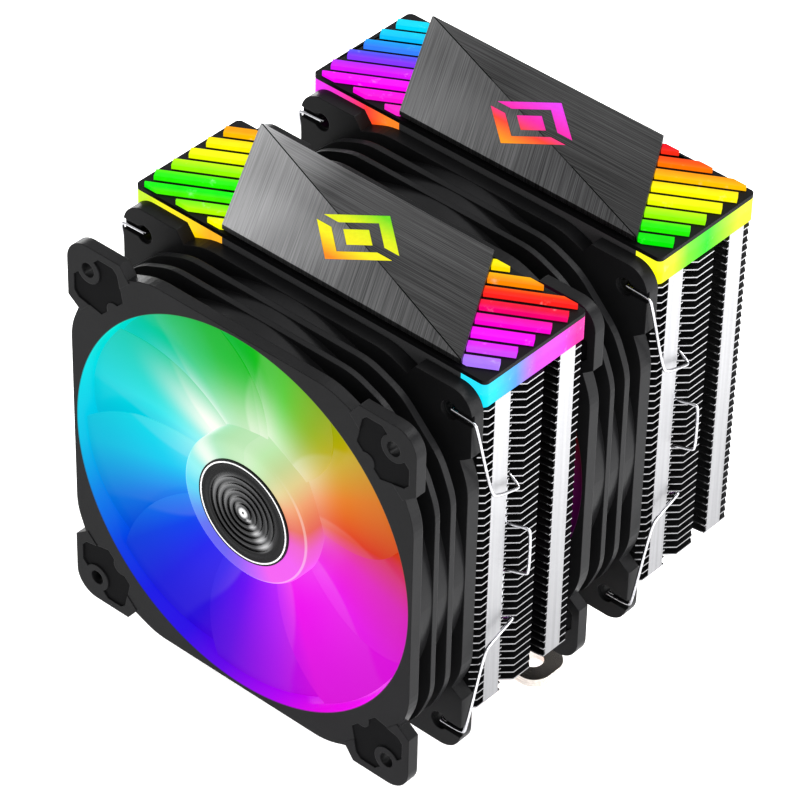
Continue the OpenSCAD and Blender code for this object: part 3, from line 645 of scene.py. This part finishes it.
def blade_point(u, v, face, turn0):
    """A blade's point in mm: u runs from root to tip, v along the chord; face is -1 or 1."""
    r = HUB_R - 0.8 + (TIP_R - HUB_R + 0.8) * u
    turn = math.radians(4 + (62 + 14 * (1 - u) ** 2) * v + 16 * u * u) + turn0
    edge = min(1.0, 4 * min(v, 1 - v) + 0.35) * min(1.0, 8 * (1 - u) + 0.4)
    half = (0.5 + 0.55 * math.sin(math.pi * v) * (1 - 0.5 * u)) * edge
    depth = 9 - 6.4 * u + (7 + 2 * u) * v - 2 * math.sin(math.pi * v)
    return r * math.cos(turn), depth + face * half, r * math.sin(turn)


def blades(name, fan_y, material):
    """All the blades of a rotor, each a closed shell of two sheets."""
    bm = bmesh.new()
    spans, chords = 22, 18
    centre = (0, fan_y, axis_z)
    for b in range(BLADES):
        turn0 = -2 * math.pi * b / BLADES
        sheets = []
        for face in (-1, 1):
            sheet = []
            for i in range(spans + 1):
                points = [blade_point(i / spans, k / chords, face, turn0)
                          for k in range(chords + 1)]
                sheet.append([bm.verts.new(tuple(p * MM + o for p, o in zip(point, centre)))
                              for point in points])
            sheets.append(sheet)
        near, far = sheets
        quads = []
        for i in range(spans):
            for k in range(chords):
                quads.append((near[i][k], near[i][k + 1], near[i + 1][k + 1], near[i + 1][k]))
                quads.append((far[i][k], far[i + 1][k], far[i + 1][k + 1], far[i][k + 1]))
        for i in range(spans):
            for k in (0, chords):
                quads.append((near[i][k], near[i + 1][k], far[i + 1][k], far[i][k]))
        for k in range(chords):
            for i in (0, spans):
                quads.append((near[i][k], near[i][k + 1], far[i][k + 1], far[i][k]))
        for quad in quads:
            bm.faces.new(quad)
    return new_object(name, bm, material)


def rotor(side, fan_y):
    """A fan's hub and blades, in place of its impeller."""
    bore, yoke_r = 1.5, 15.9
    seat, front, inside, back = 4, 2.4, 6.4, 20.6  # depths from the frame's front
    round_r = 2
    fillet = []
    for degrees in range(0, 91, 15):
        a = math.radians(degrees)
        fillet.append((HUB_R - round_r + round_r * math.sin(a),
                       front + round_r - round_r * math.cos(a)))
    profile = [(bore, seat), (CAP_SEAT_R, seat), (CAP_SEAT_R, front)] + fillet + [
        (HUB_R, back), (yoke_r, back), (yoke_r, inside), (bore, inside)]
    hub = new_object(side + "_lit_hub", revolve(profile, fan_y), hub_light)
    vanes = blades(side + "_lit_blades", fan_y, blade_light[side])
    for piece in (hub, vanes):
        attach(piece, side + "_rotor")
    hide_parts(side + "_fan_impeller")
    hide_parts(side + "_fan_impeller")


rotor("front", front_y)
rotor("middle", middle_y)

# --- Wire clips ------------------------------------------------------------------------

# Control points in mm: x from a fan's axis, y from its front face, z above its axis
CLIP = [
    (52.5, 24.2, 52.5), (52.5, 21.3, 52.5), (53.4, 21.1, 52.5), (60.4, 21.1, 52.3),
    (61.1, 21.3, 50.9), (62, 26.7, 27), (62.1, 28.8, 25), (62.1, 36.8, 22.4),
    (61.6, 38.3, 22.2), (58.4, 38.1, 24.6), (57.6, 38, 24.2), (57.6, 38, 22.6),
    (57.6, 38, 8.6), (58.2, 38.2, 7.8), (63.4, 40.3, 7.8), (64.2, 40.6, 6.9),
]
CLIP += [(x, y, -z) for x, y, z in reversed(CLIP)]
WIRE_R = 0.45


def clip(side, hand, fan_y):
    """One spring-wire clip, in place of its CAD node."""
    sign = 1 if hand == "right" else -1
    curve = bpy.data.curves.new(side + "_wire", "CURVE")
    curve.dimensions = "3D"
    curve.bevel_depth = WIRE_R * MM
    curve.bevel_resolution = 3
    curve.resolution_u = 8
    curve.use_fill_caps = True
    line = curve.splines.new("NURBS")
    line.points.add(len(CLIP) - 1)
    for point, (x, y, z) in zip(line.points, CLIP):
        point.co = (sign * x * MM, fan_y + y * MM, axis_z + z * MM, 1)
    line.order_u = 3
    line.use_endpoint_u = True
    drawn = bpy.data.objects.new("drawn", curve)
    bpy.context.scene.collection.objects.link(drawn)
    bpy.context.view_layer.update()
    mesh = bpy.data.meshes.new_from_object(drawn.evaluated_get(
        bpy.context.evaluated_depsgraph_get()))
    bpy.data.objects.remove(drawn)
    node = side + "_fan_clip_" + hand
    obj = bpy.data.objects.new(node + "_wire", mesh)
    bpy.context.scene.collection.objects.link(obj)
    mesh.shade_smooth()
    paint(obj, wire_steel)
    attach(obj, node)
    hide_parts(node)


for side, fan_y in (("front", front_y), ("middle", middle_y)):
    for hand in ("right", "left"):
        clip(side, hand, fan_y)

# --- Floor, light and camera -----------------------------------------------------------

bm = bmesh.new()
bmesh.ops.create_grid(bm, x_segments=1, y_segments=1, size=3.0)
floor_graph = Graph("floor")
floor_tone = floor_graph.noise(3, 2)
floor = new_object("floor", bm, floor_graph.finish(
    Base_Color=floor_graph.ramp(floor_tone, [(0.3, "#f8f8f8"), (0.7, "#fcfcfc")]),
    Roughness=0.9,
    Emission_Color=(1, 1, 1, 1),
    Emission_Strength=0.45,
), smooth=False)

world = bpy.data.worlds.new("studio")
bpy.context.scene.world = world
world.use_nodes = True
background = world.node_tree.nodes["Background"]
background.inputs["Color"].default_value = (1, 1, 1, 1)
background.inputs["Strength"].default_value = 0.8


def softbox(name, at, target, size, watts):
    """A rectangular area light that faces its target."""
    light = bpy.data.lights.new(name, "AREA")
    light.shape = "RECTANGLE"
    light.size, light.size_y = size
    light.energy = watts
    lamp = bpy.data.objects.new(name, light)
    bpy.context.scene.collection.objects.link(lamp)
    lamp.location = at
    lamp.rotation_euler = (Vector(target) - Vector(at)).to_track_quat("-Z", "Y").to_euler()


softbox("right_box", (1.1, 0.1, 0.3), (0, 0, 0.09), (1.3, 0.8), 26)
softbox("top_box", (-0.3, 0.5, 1.2), (0, 0, 0.1), (0.9, 0.5), 5)
softbox("left_rim", (-0.95, 0.7, 0.12), (0, 0, 0.1), (0.5, 0.6), 7)
softbox("back_top", (0.4, 0.75, 1.0), (0, 0, 0.1), (0.4, 0.4), 8)

camera_data = bpy.data.cameras.new("camera")
camera_data.lens = 205.5
camera_data.sensor_width = 36
camera_data.clip_start = 0.01
camera = bpy.data.objects.new("camera", camera_data)
bpy.context.scene.collection.objects.link(camera)
camera.location = (0.6137, -0.7272, 0.8610)
facing = Vector((-0.5060, 0.5863, -0.6326)).to_track_quat("-Z", "Y").to_matrix()
roll = Euler((0, 0, math.radians(1.4))).to_matrix()
camera.rotation_euler = (facing @ roll).to_euler()
bpy.context.scene.camera = camera
bpy.context.scene.view_settings.view_transform = "Standard"
bpy.context.scene.view_settings.gamma = 0.9
